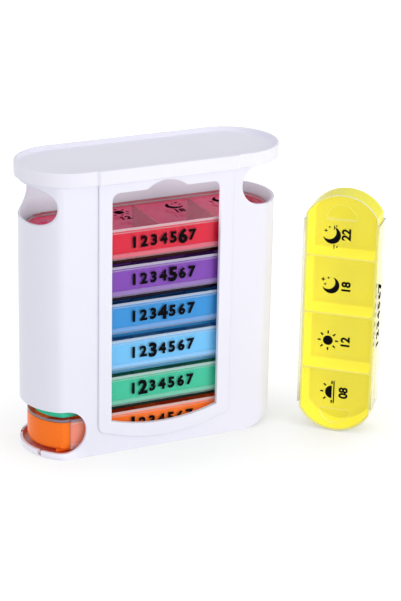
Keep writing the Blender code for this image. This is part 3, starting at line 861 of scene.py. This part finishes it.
def clearPlastic(name, shade, edgeShade, stacked):
    material, n = startMaterial(name)
    place, facing = n.place(), n.facing()
    x, y, height = (n.length(place, axis) for axis in "XYZ")
    endwise, level = abs(n.axis(facing, "X")), abs(n.axis(facing, "Z"))
    inPlate = height > cover["bottom"] - clear["underPlate"]
    inSkirt = 1 - inPlate
    # painted reflection: in the tower a strip along the back edge takes the box's colour
    backEdge = dayBox["width"] / 2 - clear["backInset"] if stacked else dayBox["width"]
    backReflection = inPlate * (y > backEdge)
    # painted highlights: pale plate edges, sloped faces and the ledge line
    edgeBand = (level < turnedAt) * inPlate
    slopes = (level < clear["slopeLevel"]) * (level > turnedAt) * inPlate
    bead = (height < cover["hookTop"] + clear["beadRise"]) * (abs(y) > cover["inside"] + clear["beadInset"])
    ledge = abs(height - cover["step"]) < clear["ledgeHalf"]
    outline = inSkirt * (endwise > turnedAt)
    nearEnd = n.ramp(abs(x), clear["nearEnd"])
    thumbFloor = (abs(height - (cover["top"] - thumb["depth"])) < clear["thumbHalf"]) * (level > flatAt)
    grazing = n.add("ShaderNodeLayerWeight", {}, {"Blend": 0.5}, "Facing")
    gleam = inPlate * clear["shine"] + inSkirt * clear["skirtShine"]
    mirrored = (grazing ** clear["grazing"] * gleam + clear["mirror"]) * (1 - thumbFloor * clear["thumbLoss"])
    haze = n.noise(place, clear["haze"], detail=3)
    scuffs = n.noise(place, clear["scuff"], detail=4, stretch=clear["scuffStretch"]) > clear["scuffed"]
    base = clear["skirtHaze"] * inSkirt + clear["plateHaze"] * inPlate
    cloud = base * (clear["hazeLeast"] + haze * clear["hazeSpread"])
    cloud = cloud + edgeBand * clear["edge"] + slopes * clear["slope"]
    cloud = cloud + bead * clear["bead"] + ledge * clear["ledge"] + backReflection * clear["strip"]
    cloud = cloud + outline * clear["outline"] + nearEnd * inSkirt * clear["endHaze"]
    alpha = n.add("ShaderNodeMath", {"operation": "MINIMUM"}, {0: cloud + mirrored, 1: clear["most"]})
    # the haze and pale edges take some of the box's colour, a painted reflection
    lent, warmed = ([p + (c - p) * clear[share] for p, c in zip(clear["pale"], shade)]
                    for share in ("borrowed", "plateBorrowed"))
    tint = n.mixed(inPlate, colour(lent), colour(warmed))
    tint = n.mixed(outline, tint, colour(clear["outlineShade"]))
    # the near end's plate edge takes edgeShade, painted shade in the tower
    tint = n.mixed(edgeBand * nearEnd * (x < 0), tint, colour(edgeShade))
    # painted reflection of the box's colour on the far end's plate edge
    if stacked:
        right = edgeBand * nearEnd * (x > 0)
        tint = n.mixed(right * clear["rightBorrowed"], tint, colour(shade, clear["dim"]))
    tint = n.mixed(backReflection * clear["backBorrowed"], tint, colour(shade, clear["dim"]))
    rough = clear["gloss"] + scuffs * clear["scuffRough"] + haze * clear["hazeRough"]
    metal = mirrored / (cloud + mirrored)
    n.surface(n.shader(Base_Color=tint, Roughness=rough, Metallic=metal, Alpha=alpha,
                       IOR=plasticIndex))
    return material


ink = dict(grain=0.5, patch=7, grainShare=0.6, dark=(0.003, 0.003, 0.004), pale=(0.010, 0.009, 0.011),
           gloss=0.55, grainRough=0.2)


def printInk(name):
    material, n = startMaterial(name)
    place = n.place()
    grain = n.noise(place, ink["grain"], detail=3)
    patch = n.noise(place, ink["patch"])
    tone = n.mixed(grain * ink["grainShare"] + patch * (1 - ink["grainShare"]),
                   colour(ink["dark"]), colour(ink["pale"]))
    rough = ink["gloss"] + (grain - 0.5) * ink["grainRough"]
    n.surface(n.shader(Base_Color=tone, Roughness=rough, Specular_IOR_Level=0.0))
    return material


# Tower and tray

# the tray's white is a lighter copy of the tower's, painted light that brings the tray up to its brightness
white, trayLighterWhite = (0.86, 0.85, 0.95), (0.90, 0.885, 0.975)


def finished(piece, material, body, replaced=None):
    piece.data.materials.clear()
    piece.data.materials.append(material)
    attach(piece, body)
    if replaced:
        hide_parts(replaced)


towerWhite = mouldedPlastic("towerWhite", white, towerLook, paintedGlow["tower"], towerInside, shadeUnder)
finished(makeShell(), towerWhite, "tower", "tower_shell")
print("tower shell built")
finished(makeTray(), mouldedPlastic("trayWhite", trayLighterWhite, trayLook), "tower", "top_tray")
print("tray built")

# Day boxes: six stacked and the seventh standing on its end beside the tower

boxColours = dict(orange=(1.0, 0.19, 0.015), green=(0.05, 0.60, 0.36), light_blue=(0.19, 0.60, 0.97),
                  blue=(0.035, 0.32, 0.74), purple=(0.24, 0.062, 0.48), red=(0.76, 0.008, 0.04),
                  yellow=(1.0, 0.91, 0.07))
redWallGlow = (0.85, 0.03, 0.35)  # the colour of the red box's painted glow
# edgeShade: painted shade on a cover's near end in the tower, and pale on the loose box; depth and blueDepth:
# how dark the painted shade on the stacked feet is, blueDepth for the blue boxes
stack = dict(base=1.3, pitch=23.3, edgeShade=(0.30, 0.33, 0.40), depth=0.97, blueDepth=0.5)
loose = dict(place=(119.8, -34.3, 76.7), yaw=48.1, edgeShade=(0.80, 0.80, 0.78))


def boxPlace(number):
    if number < days:
        return Matrix.Translation((0, 0, (stack["base"] + stack["pitch"] * (number - 1)) * mm))
    upright = Matrix.Rotation(math.radians(loose["yaw"]), 4, "Z") @ Matrix.Rotation(-quarterTurn, 4, "Y")
    return Matrix.Translation(Vector(loose["place"]) * mm) @ upright


def boxPlastic(number, hue, shade):
    name = "box" + hue.title().replace("_", "")
    if number == days:
        return mouldedPlastic(name, shade, boxLook, paintedGlow["loose"], pocketWalls, paleRims)
    shaded = stackShade(stack["blueDepth"] if "blue" in hue else stack["depth"])
    if number == 1:
        return mouldedPlastic(name, shade, boxLook, paintedGlow["outlet"], outletWalls, shaded)
    glowShade = redWallGlow if hue == "red" else None
    return mouldedPlastic(name, shade, boxLook, paintedGlow["stack"], stackWalls, shaded, glowShade)


runnerMaster, footMaster, coverMaster = makeBody(footed=False), makeBody(footed=True), makeCover()
inkMaterial = printInk("printInk")
for number, (hue, shade) in enumerate(boxColours.items(), 1):
    where = boxPlace(number)
    coverBody = "cover_%d" % number if number in (1, days) else "box_%d" % number
    stacked = number < days
    edgeShade = (stack if stacked else loose)["edgeShade"]
    clearMaterial = clearPlastic("clear" + hue.title().replace("_", ""), shade, edgeShade, stacked)
    bodyMaster = runnerMaster if number == 1 else footMaster
    for master, kind, material, rider, slot in (
            (bodyMaster, "body", boxPlastic(number, hue, shade), "box_%d" % number, "box_" + hue),
            (coverMaster, "cover", clearMaterial, coverBody, "cover_clear")):
        piece = master.copy()
        piece.data = master.data.copy()
        piece.name = "dayBox%d%s" % (number, kind.title())
        scene.collection.objects.link(piece)
        piece.matrix_world = where
        finished(piece, material, rider, "box_%d_%s" % (number, kind))
    marks = newPiece("dayBox%dPrint" % number, makePrint(number))
    marks.matrix_world = where
    finished(marks, inkMaterial, coverBody)
for master in (runnerMaster, footMaster, coverMaster):
    bpy.data.objects.remove(master)
print("day boxes built")

# Floor, light and camera

studio = dict(floorSize=3.0, floorShade=0.94, floorLift=0.55, floorGlow=1.3, contact=100, contactDepth=0.32,
              paper=0.02, paperGrain=3, paperRough=0.9, clearFrom=(0.30, 0.60), worldTint=(0.97, 0.98, 1, 1),
              worldLight=0.80, worldRight=0.45, worldWing=(0.45, 0.95), backdrop=1.0,
              keyPower=3.0, keyPlace=(0.55, -0.85, 0.36), fillPower=1.35, fillPlace=(-0.7, -1.6, 0.6),
              lampSize=0.6, aim=(0.02, 0, 0.09))
plainWhite = (1, 1, 1, 1)

floorMesh = bpy.data.meshes.new("floor")
half = studio["floorSize"]
corners = [(-half, -half, 0), (half, -half, 0), (half, half, 0), (-half, half, 0)]
floorMesh.from_pydata(corners, [], [(0, 1, 2, 3)])
floorPiece = newPiece("floor", floorMesh)
floorMaterial, n = startMaterial("floorPaper")
seen = n.seenBy("Camera", "Glossy", "Transmission")
paper = n.noise(n.place(), studio["paperGrain"], detail=3)
# painted contact shadow: the floor and its glow darken where the object stands near
contact = (1 - n.openness(studio["contact"])) * studio["contactDepth"]
tone = n.mixed(seen, colour((studio["floorShade"],) * 3), plainWhite)
tone = n.darkened(paper * studio["paper"] + contact * seen, tone)
plain = n.shader(Base_Color=tone, Roughness=studio["paperRough"])
glow = n.add("ShaderNodeEmission", {}, {"Color": n.darkened(contact, plainWhite),
                                        "Strength": studio["floorGlow"]})
distance = n.add("ShaderNodeVectorMath", {"operation": "LENGTH"}, {0: n.place()}, "Value")
faraway = n.ramp(distance, studio["clearFrom"], (studio["floorLift"], 1.0))
n.surface(n.add("ShaderNodeMixShader", {}, {0: seen * faraway, 1: plain, 2: glow}))
floorMesh.materials.append(floorMaterial)

world = bpy.data.worlds.new("studio")
scene.world = world
world.use_nodes = True
n = Nodes(world.node_tree)
direction = n.add("ShaderNodeTexCoord", {}, {}, "Generated")
wing = n.ramp(n.axis(direction, "X"), studio["worldWing"]) * studio["worldRight"]
lit = n.add("ShaderNodeBackground", {}, {"Color": studio["worldTint"],
                                         "Strength": (1 - wing) * studio["worldLight"]})
backdrop = n.add("ShaderNodeBackground", {}, {"Color": plainWhite, "Strength": studio["backdrop"]})
shown = n.add("ShaderNodeMixShader", {}, {0: n.seenBy("Camera", "Transmission"), 1: lit, 2: backdrop})
n.add("ShaderNodeOutputWorld", {}, {"Surface": shown})


def softLamp(name, place, power):
    lamp = bpy.data.lights.new(name, "AREA")
    lamp.shape = "DISK"
    lamp.size = studio["lampSize"]
    lamp.energy = power
    holder = newPiece(name, lamp)
    holder.location = place
    aim = Vector(studio["aim"]) - Vector(place)
    holder.rotation_euler = aim.to_track_quat("-Z", "Y").to_euler()


softLamp("keyLamp", studio["keyPlace"], studio["keyPower"])
softLamp("fillLamp", studio["fillPlace"], studio["fillPower"])

view = dict(place=(-0.49819, -1.10171, 0.53695), azimuth=-25.879, elevation=20.514, roll=1.152,
            lens=126.959, sensor=36, clip=(0.05, 20))
azimuth, elevation, roll = (math.radians(view[key]) for key in ("azimuth", "elevation", "roll"))
back = Vector((math.sin(azimuth) * math.cos(elevation), -math.cos(azimuth) * math.cos(elevation),
               math.sin(elevation)))
right = Vector((0, 0, 1)).cross(back).normalized()
up = back.cross(right)
right, up = right * math.cos(roll) + up * math.sin(roll), up * math.cos(roll) - right * math.sin(roll)
lens = bpy.data.cameras.new("camera")
lens.lens = view["lens"]
lens.sensor_width = view["sensor"]
lens.clip_start, lens.clip_end = view["clip"]
cameraPiece = newPiece("camera", lens)
turn = Matrix((right, up, back)).transposed().to_4x4()
cameraPiece.matrix_world = Matrix.Translation(view["place"]) @ turn
scene.camera = cameraPiece
scene.view_settings.view_transform = "Standard"
print("studio ready")
